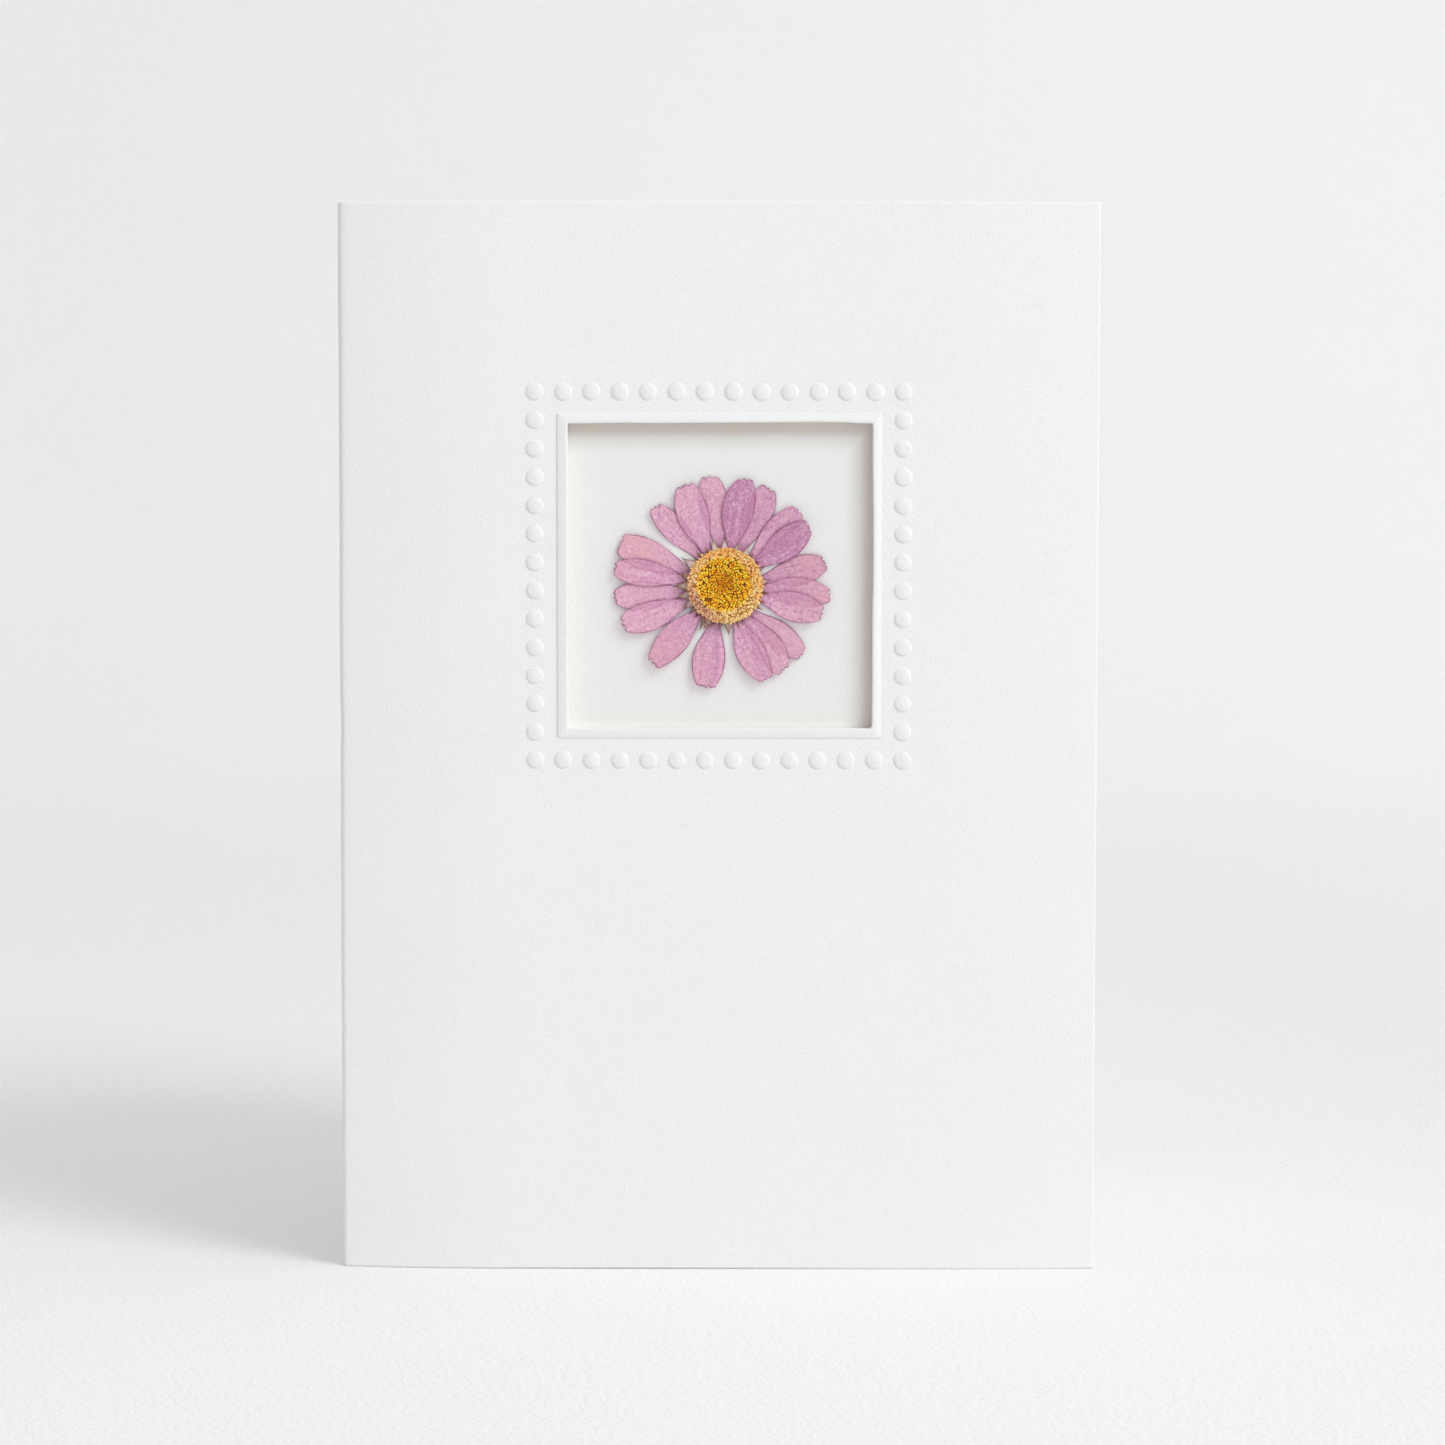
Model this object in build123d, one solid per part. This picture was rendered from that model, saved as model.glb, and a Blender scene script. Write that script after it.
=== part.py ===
"""A folded greeting card that stands open on its lower edges. Its front panel has a square window
with a raised frame and a ring of raised dots, and a pressed daisy lies on a backing behind the window.

Millimetres. +X runs from the fold to the front panel's free edge, +Y from the front panel to the
back, +Z up. The origin is the middle of the card's bounding box, on the surface it stands on.
The card is drawn with the flat part of its front face at Y = 0, and moved to the origin at the end."""
import os
from math import atan2, cos, degrees, pi, radians, sin, sqrt

from build123d import *

# Folded card
card_width = 105.0
card_height = 148.0
sheet_thickness = 0.4
fold_inner_radius = 0.5
opening_angle = 40.0  # between the flat parts of the two panels
spring_angle = 7.4  # how far each panel turns inwards beside the fold
edge_bow_angle = 3.2  # how far each panel turns inwards beside its free edge
flat_margin = 0.6  # the front panel stays flat this far past the backing

# Window, and the raised frame round it
window_side = 42.0
window_corner_radius = 0.25
window_shift = 0.25  # from the middle of the card's width towards the free edge
window_centre_height = 96.7
frame_width = 1.42
frame_rise = 0.32
frame_shoulder = 0.8  # width of the frame's outer slope
frame_corner_radius = 0.8
inner_slope_width = 0.12  # the short slope that rolls over into the window
inner_slope_drop = 0.1

# Raised dots round the frame
dots_per_side = 14
dot_diameter = 2.44
dot_top_diameter = 1.6
dot_rise = 0.25
dot_gap = 1.76  # from the frame to the dots
dot_facets = 12
dot_hollow_diameter = 2.1
dot_hollow_top_diameter = 1.3
dot_hollow_facets = 8

# Backing sheet behind the window, on four strips of foam tape
backing_overlap = 8.4  # past the window on each side
backing_thickness = 0.3
tape_thickness = 1.2
tape_width = 5.5
tape_inset = 0.5  # from the backing's edge

# Pressed flower
flower_shift_across = 0.75  # from the window's middle towards the free edge
flower_shift_up = -1.4
glue_diameter = 7.0
glue_facets = 10
glue_thickness = 0.06
petal_thickness = 0.1
layer_clearance = 0.03
petal_root_radius = 3.0
petal_root_width = 1.3
petal_neck_length = 2.6  # from its root to where a petal starts to widen
petal_neck_width = 1.9
petal_first_bend = 4.2  # from its root; petals lie flat up to here, then lift towards their tips
petal_first_lift = 0.12
petal_second_bend = 8.0
petal_lift = 0.6
petal_lift_reach = 13.5  # where a petal this long would reach its full lift
tooth_depth = 0.45
bract_count = 26
bract_valley_radius = 5.1
bract_tip_radius = 6.5
bract_thickness = 0.1
disc_radius = 5.2
disc_plate_thickness = 0.2
floret_count = 50
floret_diameter = 0.94
floret_taper = 12.0
floret_rim_height = 0.14
floret_dome_height = 0.34

# One row for each petal, counter-clockwise from the free edge's side. Directions are in degrees round
# the flower's middle: root direction, tip direction, length from the middle, width, layer
petals = [
    (9.0, 13.2, 14.3, 4.1, 0),
    (33.8, 35.4, 14.3, 4.3, 2),
    (45.5, 46.0, 14.6, 4.0, 1),
    (66.5, 65.7, 14.9, 4.2, 0),
    (76.0, 79.8, 15.1, 4.5, 1),
    (97.0, 98.0, 15.3, 4.1, 0),
    (119.0, 112.2, 15.1, 4.5, 1),
    (131.8, 132.0, 14.7, 3.5, 0),
    (159.5, 158.2, 15.8, 4.4, 0),
    (171.0, 171.2, 15.6, 3.8, 1),
    (188.5, 186.3, 15.5, 4.0, 0),
    (204.5, 200.8, 15.3, 4.1, 1),
    (224.0, 227.2, 14.8, 4.2, 2),
    (254.5, 259.1, 14.4, 4.6, 0),
    (290.5, 293.8, 14.3, 4.1, 2),
    (303.0, 305.0, 14.4, 4.2, 1),
    (313.0, 318.6, 14.4, 3.9, 0),
    (340.0, 344.0, 14.1, 4.2, 2),
    (354.0, 355.1, 14.7, 4.1, 1),
]

# Places that follow from these sizes
frame_side = window_side + 2 * frame_width
dot_ring_side = frame_side + 2 * dot_gap + dot_diameter
dot_pitch = dot_ring_side / (dots_per_side - 1)
backing_side = window_side + 2 * backing_overlap
backing_face = -sheet_thickness - tape_thickness
fold_outer_radius = fold_inner_radius + sheet_thickness
fold_x = fold_outer_radius - card_width / 2
spring_start_x = window_shift - backing_side / 2 - flat_margin
spring_radius = fold_outer_radius + (spring_start_x - fold_x) / sin(radians(spring_angle))
fold_y = spring_radius - (spring_radius - fold_outer_radius) * cos(radians(spring_angle))
bow_start_x = window_shift + backing_side / 2 + flat_margin
edge_bow_radius = (card_width / 2 - bow_start_x) / sin(radians(edge_bow_angle))
layer_pitch = petal_thickness + layer_clearance
petal_layers = 1 + max(layer for *_, layer in petals)
bract_height = glue_thickness + petal_layers * layer_pitch
disc_height = bract_height + bract_thickness + layer_clearance
golden_angle = 180 * (3 - sqrt(5))

# On the window plane X is across, Y is up and Z is towards the viewer, from the front face
window_plane = Plane(
    origin=(window_shift, 0, window_centre_height), x_dir=(1, 0, 0), z_dir=(0, -1, 0)
)
flower_place = window_plane.location * Pos(flower_shift_across, flower_shift_up, backing_face)


def panel_edges(depth):
    """The front panel's line in plan, at one depth into the sheet, from free edge to fold."""
    bow = CenterArc((bow_start_x, edge_bow_radius), edge_bow_radius - depth, -90, edge_bow_angle)
    flat = Line((bow_start_x, depth), (spring_start_x, depth))
    spring = CenterArc(
        (spring_start_x, spring_radius), spring_radius - depth, -90 - spring_angle, spring_angle
    )
    fold_turn = 90 - spring_angle - opening_angle / 2
    fold = CenterArc(
        (fold_x, fold_y), fold_outer_radius - depth, 180 + opening_angle / 2, fold_turn
    )
    return bow, flat, spring, fold


def make_sheet():
    """The sheet as folded: one panel up to the middle of the fold, and its mirror image."""
    outer = panel_edges(0)
    inner = panel_edges(sheet_thickness)
    free_edge = Line(outer[0] @ 1, inner[0] @ 1)
    fold_middle = Line(outer[-1] @ 0, inner[-1] @ 0)
    section = make_face([*outer, *inner, free_edge, fold_middle])
    panel = extrude(section, amount=card_height, dir=(0, 0, 1))
    half_angle = radians(opening_angle / 2)
    mirror_plane = Plane(
        origin=(fold_x, fold_y, 0), z_dir=(-sin(half_angle), cos(half_angle), 0)
    )
    return panel + mirror(panel, about=mirror_plane)


def frustum(outline, top_outline, height):
    """A straight-sided solid from one outline up to another."""
    return loft([outline, Pos(0, 0, height) * top_outline])


def square(side, corner_radius):
    """A square with rounded corners."""
    return RectangleRounded(side, side, corner_radius)


def make_frame_relief():
    """The raised frame: an outer slope, a flat top, and a short slope into the window."""
    top_side = frame_side - 2 * frame_shoulder
    relief = frustum(
        square(frame_side, frame_corner_radius), square(top_side, frame_corner_radius), frame_rise
    )
    slope = frustum(
        square(window_side, window_corner_radius),
        square(window_side + 2 * inner_slope_width, window_corner_radius + inner_slope_width),
        inner_slope_drop,
    )
    return relief - Pos(0, 0, frame_rise - inner_slope_drop) * slope


def make_window_lip():
    """The lip that turns in from the frame all round the window, down to the backing."""
    outline = square(window_side + 2 * sheet_thickness, window_corner_radius + sheet_thickness)
    lip = extrude(outline - square(window_side, window_corner_radius), amount=-backing_face)
    return Pos(0, 0, backing_face) * lip


def dot_places():
    """The places of the dots: the outermost ring of a square grid."""
    last = dots_per_side - 1
    return [
        Pos(column * dot_pitch - dot_ring_side / 2, row * dot_pitch - dot_ring_side / 2)
        for column in range(dots_per_side)
        for row in range(dots_per_side)
        if column in (0, last) or row in (0, last)
    ]


def make_dot(diameter, top_diameter, facets):
    """One raised dot: a low boss with sloping sides and a flat top."""
    return frustum(
        RegularPolygon(diameter / 2, facets), RegularPolygon(top_diameter / 2, facets), dot_rise
    )


def make_card():
    """The folded sheet with its window and lip, and with the frame and dots pressed out of it."""
    relief = make_frame_relief()
    dot = make_dot(dot_diameter, dot_top_diameter, dot_facets)
    hollow = make_dot(dot_hollow_diameter, dot_hollow_top_diameter, dot_hollow_facets)
    into_sheet = Pos(0, 0, -sheet_thickness)
    raised = [relief] + [place * dot for place in dot_places()]
    hollows = [into_sheet * relief] + [into_sheet * place * hollow for place in dot_places()]
    window = extrude(square(window_side, window_corner_radius), amount=card_width, both=True)
    reach = Box(dot_ring_side * 2, dot_ring_side * 2, 2 * (sheet_thickness + frame_rise))
    card = make_sheet() + [window_plane.location * solid for solid in raised]
    card -= [window_plane.location * solid for solid in [*hollows, window & reach]]
    return card + window_plane.location * make_window_lip()


def make_backing():
    """The white sheet behind the window."""
    sheet = Box(backing_side, backing_side, backing_thickness)
    return Pos(0, 0, backing_face - backing_thickness / 2) * sheet


def make_tape_strips():
    """Four strips of tape between the card and the backing, one along each side."""
    middle = backing_side / 2 - tape_inset - tape_width / 2
    depth = -sheet_thickness - tape_thickness / 2
    upright_length = backing_side - 2 * tape_inset
    level_length = upright_length - 2 * tape_width - 2 * tape_inset
    upright = Box(tape_width, upright_length, tape_thickness)
    level = Box(level_length, tape_width, tape_thickness)
    return {
        "tape_left": Pos(-middle, 0, depth) * upright,
        "tape_right": Pos(middle, 0, depth) * upright,
        "tape_bottom": Pos(0, -middle, depth) * level,
        "tape_top": Pos(0, middle, depth) * level,
    }


def petal_outline(length, width):
    """A petal seen from the front, its root at the origin and its tip, with three teeth, along +X."""
    root = (0, petal_root_width / 2)
    neck = (petal_neck_length, petal_neck_width / 2)
    belly = (0.64 * length, 0.50 * width)
    corner = (length - 1.4 * tooth_depth, 0.27 * width)
    outer_tooth = (length - 0.6 * tooth_depth, 0.16 * width)
    notch = (length - 1.3 * tooth_depth, 0.08 * width)
    side = [Line(root, neck), ThreePointArc(neck, belly, corner)]
    tip = Polyline(corner, outer_tooth, notch, (length, 0))
    end = Line((0, -petal_root_width / 2), root)
    mirrored = [mirror(edge, about=Plane.XZ) for edge in [*side, tip]]
    return make_face([end, *side, tip, *mirrored])


def make_petal(length, width):
    """A petal along +X. It lies flat over its root, then lifts towards its tip in two gentle bends."""
    line = [
        (0, 0),
        (petal_first_bend, 0),
        (petal_second_bend, petal_first_lift),
        (petal_lift_reach, petal_lift),
    ]
    upper = [(along, height + petal_thickness) for along, height in line]
    profile = make_face(Polyline(*line, *reversed(upper), close=True))
    blade = extrude(Plane.XZ * profile, amount=width, both=True)
    return blade & extrude(petal_outline(length, width), amount=petal_lift + 2 * petal_thickness)


def make_petals():
    """Every petal from its root to its tip. Those that cross lie in different layers."""
    nodes = {}
    for number, (root_direction, tip_direction, length, width, layer) in enumerate(petals, start=1):
        root = Vector(petal_root_radius, 0, 0).rotate(Axis.Z, root_direction)
        tip = Vector(length, 0, 0).rotate(Axis.Z, tip_direction)
        axis = tip - root
        heading = degrees(atan2(axis.Y, axis.X))
        place = Pos(root.X, root.Y, glue_thickness + layer * layer_pitch) * Rot(0, 0, heading)
        nodes[f"petal_{number:02d}"] = place * make_petal(axis.length, width)
    return nodes


def make_bracts():
    """The star of dark pointed bracts that shows round the flower's middle."""
    step = 2 * pi / bract_count
    points = []
    for number in range(bract_count):
        tip = number * step
        valley = tip + step / 2
        points.append((bract_tip_radius * cos(tip), bract_tip_radius * sin(tip)))
        points.append((bract_valley_radius * cos(valley), bract_valley_radius * sin(valley)))
    star = make_face(Polyline(*points, close=True))
    return Pos(0, 0, bract_height) * extrude(star, amount=bract_thickness)


def make_flower_disc():
    """The flower's middle: a thin plate that carries florets set out along a golden-angle spiral."""
    spiral_radius = disc_radius - floret_diameter / 2
    disc = Cylinder(disc_radius, disc_plate_thickness, align=(Align.CENTER, Align.CENTER, Align.MIN))
    for number in range(floret_count):
        share = (number + 0.5) / floret_count
        direction = number * golden_angle
        height = floret_rim_height + floret_dome_height * (1 - share)
        floret = extrude(RegularPolygon(floret_diameter / 2, 6), amount=height, taper=floret_taper)
        place = Rot(0, 0, direction) * Pos(spiral_radius * sqrt(share), 0, disc_plate_thickness)
        disc += place * floret
    return Pos(0, 0, disc_height) * disc


def make_glue_dab():
    """The dab of clear glue that holds the flower to the backing."""
    return extrude(RegularPolygon(glue_diameter / 2, glue_facets), amount=glue_thickness)


def make_pieces():
    """Every piece of the card, by name, with the flat part of its front face at Y = 0."""
    pieces = {"folded_card": make_card()}
    pieces["window_backing"] = window_plane.location * make_backing()
    for name, strip in make_tape_strips().items():
        pieces[name] = window_plane.location * strip
    pieces["glue_dab"] = flower_place * make_glue_dab()
    for name, petal in make_petals().items():
        pieces[name] = flower_place * petal
    pieces["bracts"] = flower_place * make_bracts()
    pieces["flower_disc"] = flower_place * make_flower_disc()
    return pieces


pieces = make_pieces()
middle = pieces["folded_card"].bounding_box().center()
os.makedirs("parts", exist_ok=True)
for name, piece in pieces.items():
    export_step(Pos(-middle.X, -middle.Y, 0) * piece, f"parts/{name}.step")
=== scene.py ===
import random
from math import atan2, copysign, cos, degrees, exp, pi, radians, sin, sqrt

import bmesh
import bpy
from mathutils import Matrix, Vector, noise


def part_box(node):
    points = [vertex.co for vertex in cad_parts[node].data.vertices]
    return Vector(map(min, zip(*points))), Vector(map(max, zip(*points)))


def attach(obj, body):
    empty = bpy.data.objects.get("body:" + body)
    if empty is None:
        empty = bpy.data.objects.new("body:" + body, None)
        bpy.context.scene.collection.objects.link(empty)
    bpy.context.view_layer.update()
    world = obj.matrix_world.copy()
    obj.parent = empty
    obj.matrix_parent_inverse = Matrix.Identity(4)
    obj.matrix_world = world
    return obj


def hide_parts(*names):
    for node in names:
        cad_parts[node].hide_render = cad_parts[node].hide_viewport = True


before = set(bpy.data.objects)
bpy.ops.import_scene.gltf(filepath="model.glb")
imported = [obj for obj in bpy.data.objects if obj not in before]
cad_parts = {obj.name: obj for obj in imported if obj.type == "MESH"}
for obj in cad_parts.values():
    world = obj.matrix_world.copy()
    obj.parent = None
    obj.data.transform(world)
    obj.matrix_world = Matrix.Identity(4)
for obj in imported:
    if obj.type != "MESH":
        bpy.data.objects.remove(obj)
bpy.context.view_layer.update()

random.seed(7)
MM = 0.001

# Sizes of the card, in metres
CARD_WIDTH = 105.0 * MM
CARD_HEIGHT = 148.0 * MM
SHEET = 0.4 * MM
FOLD_RADIUS = 0.9 * MM
OPENING = radians(40.0)
SPRING_ANGLE = radians(7.4)
BOW_ANGLE = radians(3.2)
WINDOW_HALF = 21.0 * MM
WINDOW_X = 0.25 * MM
WINDOW_Z = 96.7 * MM
FRAME_RISE = 0.32 * MM
BACKING_HALF = 29.4 * MM
FLAT_MARGIN = 0.6 * MM
EDGE = 0.11 * MM  # rounding of the sheet's cut edges
DOTS = 14
DOT_RING_HALF = 25.4 * MM
DOT_RADIUS = 1.22 * MM
DOT_RISE = 0.305 * MM
DOT_SHIFT = -0.12 * MM  # the dots sit a little left of and below their cells' centres
PITCH = 2 * DOT_RING_HALF / (DOTS - 1)
CELL = 6  # mesh steps along one side of a dot's cell
GRID_HALF = DOT_RING_HALF + PITCH / 2
RING_HALF = DOT_RING_HALF - PITCH / 2

# The front in plan: flat round the window, sprung beside the fold, bowed by the free edge
FOLD_X = FOLD_RADIUS - CARD_WIDTH / 2
SPRING_X = WINDOW_X - BACKING_HALF - FLAT_MARGIN
SPRING_RADIUS = FOLD_RADIUS + (SPRING_X - FOLD_X) / sin(SPRING_ANGLE)
FOLD_Y = SPRING_RADIUS - (SPRING_RADIUS - FOLD_RADIUS) * cos(SPRING_ANGLE)
BOW_X = WINDOW_X + BACKING_HALF + FLAT_MARGIN
BOW_RADIUS = (CARD_WIDTH / 2 - BOW_X) / sin(BOW_ANGLE)

# Places in the frame
FRONT_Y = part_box("folded_card")[0].y + FRAME_RISE
BACKING_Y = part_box("window_backing")[0].y
disc_low, disc_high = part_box("flower_disc")
FLOWER = Vector(((disc_low.x + disc_high.x) / 2, BACKING_Y, (disc_low.z + disc_high.z) / 2))


def smooth(x):
    x = min(max(x, 0.0), 1.0)
    return x * x * (3 - 2 * x)


def mix(a, b, t):
    return a + (b - a) * t


def bell(x, middle, reach):
    """1 at the middle, falling off softly over the reach on both sides."""
    return exp(-((x - middle) / reach) ** 2)


def polar(r, a):
    return r * cos(a), r * sin(a)


def rough(x, y, z=0.0):
    """Smooth noise from -1 to 1."""
    return noise.noise(Vector((x, y, z)))


def rgb(red, green, blue):
    """A display colour, 0 to 255, as linear RGBA."""
    def linear(c):
        c /= 255
        return c / 12.92 if c <= 0.04045 else ((c + 0.055) / 1.055) ** 2.4
    return (linear(red), linear(green), linear(blue), 1.0)


def add_object(name, data):
    made = bpy.data.objects.new(name, data)
    bpy.context.scene.collection.objects.link(made)
    return made


class Nodes:
    """A node tree that is filled in a few short calls."""

    def __init__(self, tree):
        self.tree = tree

    def put(self, socket, value):
        """Link the socket to another one, or give it a fixed value."""
        if isinstance(value, bpy.types.NodeSocket):
            self.tree.links.new(value, socket)
        else:
            socket.default_value = value

    def node(self, kind, values=None, **settings):
        made = self.tree.nodes.new(kind)
        for key, value in settings.items():
            setattr(made, key, value)
        for key, value in (values or {}).items():
            self.put(made.inputs[key], value)
        return made

    def maths(self, operation, a, b=0.0, c=0.0, clamp=False):
        made = self.node("ShaderNodeMath", operation=operation, use_clamp=clamp)
        for socket, value in zip(made.inputs, (a, b, c)):
            self.put(socket, value)
        return made.outputs[0]

    def times(self, a, b):
        return self.maths("MULTIPLY", a, b)

    def split(self, vector):
        """The x, y and z of a vector."""
        return self.node("ShaderNodeSeparateXYZ", {0: vector}).outputs


class Shader(Nodes):
    """A material around one Principled surface."""

    def __init__(self, name):
        self.material = bpy.data.materials.new(name)
        self.material.use_nodes = True
        super().__init__(self.material.node_tree)
        self.surface = self.tree.nodes["Principled BSDF"]

    def set(self, **values):
        for key, value in values.items():
            self.put(self.surface.inputs[key.replace("_", " ")], value)

    def place(self):
        return self.node("ShaderNodeNewGeometry").outputs["Position"]

    def given(self, name):
        """A value that the mesh keeps at its points."""
        return self.node("ShaderNodeAttribute", attribute_name=name).outputs["Fac"]

    def ray(self, kind):
        return self.node("ShaderNodeLightPath").outputs[f"Is {kind} Ray"]

    def grain(self, scale, detail=3.0, roughness=0.55, distortion=0.0, where=None):
        values = {"Scale": scale, "Detail": detail, "Roughness": roughness, "Distortion": distortion}
        values["Vector"] = self.place() if where is None else where
        return self.node("ShaderNodeTexNoise", values).outputs["Fac"]

    def span(self, value, low, high, to_low=0.0, to_high=1.0, soft=True):
        """The value carried from one range over to another."""
        kind = "SMOOTHSTEP" if soft else "LINEAR"
        values = {1: low, 2: high, 3: to_low, 4: to_high}
        made = self.node("ShaderNodeMapRange", values, interpolation_type=kind)
        self.put(made.inputs[0], value)
        return made.outputs[0]

    def blend(self, factor, a, b, mode="MIX"):
        made = self.node("ShaderNodeMix", data_type="RGBA", blend_type=mode)
        for index, value in ((0, factor), (6, a), (7, b)):
            self.put(made.inputs[index], value)
        return made.outputs[2]

    def layers(self, ground, *covers):
        """Colours laid one over the other, each as strong as its factor."""
        for factor, cover in covers:
            ground = self.blend(factor, ground, cover)
        return ground

    def vector(self, x, y, z):
        made = self.node("ShaderNodeCombineXYZ")
        for socket, value in zip(made.inputs, (x, y, z)):
            self.put(socket, value)
        return made.outputs[0]

    def let_light_through(self, share, tint):
        """A paler shadow. A ray crosses two faces, so each lets the root of the share through."""
        clear = self.node("ShaderNodeBsdfTransparent", {"Color": tint})
        both = self.node("ShaderNodeMixShader", {0: self.times(self.ray("Shadow"), share ** 0.5)})
        self.put(both.inputs[1], self.surface.outputs[0])
        self.put(both.inputs[2], clear.outputs[0])
        self.put(self.tree.nodes["Material Output"].inputs["Surface"], both.outputs[0])

    def relief(self, height, distance):
        bump = self.node("ShaderNodeBump", {"Height": height, "Distance": distance, "Strength": 1.0})
        self.put(self.surface.inputs["Normal"], bump.outputs[0])


def paper_tooth(shader, distance):
    """The fine felt surface of uncoated card: soft dimples with finer fibres over them."""
    dimples = shader.grain(2600, 2.0, 0.5)
    fibres = shader.grain(4600, 2.0, 0.6, 0.6)
    height = shader.maths("ADD", shader.times(dimples, 0.55), shader.times(fibres, 0.45))
    shader.relief(height, distance)
    return height


def make_card_stock():
    """White card, crushed where pressed, with painted edge highlights and painted shade lines."""
    s = Shader("card_stock")
    tooth = paper_tooth(s, 0.10 * MM)
    cloud = s.grain(60)
    pits = s.span(tooth, 0.30, 0.46)
    pressed = s.times(s.given("pressed"), s.span(cloud, 0.3, 0.7, 0.85, 1.0))
    pale = s.blend(s.span(cloud, 0.3, 0.7), rgb(245, 245, 245), rgb(246, 246, 246))
    paper = s.layers(
        s.blend(pits, rgb(242, 242, 241), pale),
        (pressed, rgb(243, 243, 242)),
        # Painted highlight on the top and free edges, painted shade by the fold, foot, dots and frame
        (s.given("cut"), rgb(251, 251, 251)),
        (s.given("crease"), rgb(188, 188, 184)),
    )
    s.set(Base_Color=paper, Roughness=0.78, Specular_IOR_Level=0.25)
    return s.material


def make_backing_paper():
    """White paper with painted light and painted warm shade in borders beside the window's edge."""
    s = Shader("backing_paper")
    tooth = paper_tooth(s, 0.09 * MM)
    x, _, z = s.split(s.place())
    across = s.maths("SUBTRACT", x, WINDOW_X)
    up = s.maths("SUBTRACT", z, WINDOW_Z)
    wander = s.times(s.maths("SUBTRACT", s.grain(180, 2.0), 0.5), 0.5 * MM)
    top_right = s.maths("ADD", s.maths("MAXIMUM", across, s.maths("ADD", up, 0.5 * MM)), wander)
    all_round = s.maths("MAXIMUM", s.maths("ABSOLUTE", across), s.maths("ABSOLUTE", up))
    downwards = s.times(up, -1.0)

    def window_border(reach, start, full, most=1.0):
        """A border that starts and is full at these distances from the window's edge, in mm."""
        return s.span(reach, WINDOW_HALF - start * MM, WINDOW_HALF - full * MM, 0.0, most)

    paper = s.layers(
        s.blend(s.span(tooth, 0.28, 0.42), rgb(237, 237, 236), rgb(241, 241, 240)),
        # Painted warm reflection from the window's walls, on all four sides
        (window_border(all_round, 3.0, 0.0), rgb(241, 242, 235)),
        # Painted light along the bottom edge
        (window_border(downwards, 1.1, 0.1), rgb(248, 249, 244)),
        # Painted shadow inside the top and right edges
        (window_border(top_right, 4.0, 0.9, 0.9), rgb(228, 226, 222)),
        # Painted warm shade in a narrow band along the top and right edges
        (window_border(top_right, 1.6, 0.4), rgb(217, 208, 199)),
    )
    s.set(Base_Color=paper, Roughness=0.8, Specular_IOR_Level=0.25)
    return s.material


def make_tape():
    s = Shader("tape")
    weave = s.grain(900, 2.0, 0.5, 0.3)
    s.set(Base_Color=s.blend(weave, rgb(226, 214, 190), rgb(240, 232, 214)), Roughness=0.45)
    s.relief(weave, 0.01 * MM)
    return s.material


def make_glue():
    s = Shader("glue")
    ripple = s.grain(700, 2.0)
    s.set(Base_Color=s.blend(ripple, rgb(226, 218, 200), rgb(242, 238, 226)), Roughness=0.22)
    s.set(Transmission_Weight=0.4, IOR=1.47)
    s.relief(ripple, 0.02 * MM)
    return s.material


def make_petal_skin(name, ground, shade, bright):
    """Dried petal: veins along it, mottling, a dark rim, and painted shade where petals overlap."""
    s = Shader(name)
    along, across, seed, tone = (s.given(key) for key in ("along", "across", "seed", "tone"))

    def drawn_out(times_along, times_across, *texture):
        """Noise that is drawn out along the petal."""
        where = s.vector(s.times(along, times_along), s.times(across, times_across), seed)
        return s.grain(1.0, *texture, where)

    streaks = drawn_out(2.6, 30.0, 4.0, 0.62, 0.35)
    bands = drawn_out(1.6, 5.0, 3.0, 0.5, 0.3)
    blotch = s.grain(420, 3.0, 0.6)
    mottle = s.grain(1900, 4.0, 0.7)
    specks = s.grain(3600, 3.0, 0.7)
    rim = s.span(s.given("rim"), 0.21 * MM, 0.06 * MM)
    skin = s.layers(
        s.blend(s.span(bands, 0.32, 0.68), shade, ground),
        (s.span(blotch, 0.40, 0.30, 0.0, 0.35), shade),
        (s.span(mottle, 0.50, 0.66, 0.0, 0.75), bright),
        (s.span(mottle, 0.47, 0.34, 0.0, 0.45), rgb(186, 116, 160)),
        (s.span(streaks, 0.46, 0.34, 0.0, 0.50), rgb(168, 98, 142)),
        (s.span(streaks, 0.56, 0.68, 0.0, 0.45), rgb(240, 192, 212)),
        (s.span(specks, 0.55, 0.68, 0.0, 0.80), rgb(250, 214, 228)),
        (s.span(specks, 0.45, 0.32, 0.0, 0.60), rgb(158, 88, 134)),
        (s.times(s.given("peach"), s.span(blotch, 0.36, 0.64, 0.35, 0.85)), rgb(234, 178, 178)),
        (s.maths("MAXIMUM", tone, 0.0), rgb(238, 196, 214)),
        (s.maths("MAXIMUM", s.times(tone, -1.0), 0.0), rgb(168, 98, 140)),
        (s.span(along, 0.42, 0.12, 0.0, 0.32), rgb(178, 108, 156)),
        # Painted shade of the petal behind seen through this one, and of its edge
        (s.maths("MULTIPLY", s.given("under"), 0.30, clamp=True), rgb(184, 108, 150)),
        (s.times(s.given("ghost"), s.span(blotch, 0.38, 0.58, 0.0, 0.45)), rgb(164, 96, 142)),
        (s.times(rim, s.span(blotch, 0.38, 0.60, 0.32, 0.86)), rgb(146, 76, 122)),
        (s.times(s.given("tooth"), s.span(blotch, 0.38, 0.60, 0.25, 0.85)), rgb(134, 66, 102)),
    )
    s.set(Base_Color=skin, Roughness=0.62, Specular_IOR_Level=0.3, Sheen_Weight=0.1)
    s.let_light_through(0.42, rgb(250, 212, 230))
    s.relief(s.maths("ADD", s.times(streaks, 0.6), s.times(mottle, 0.4)), 0.09 * MM)
    return s.material


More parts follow.
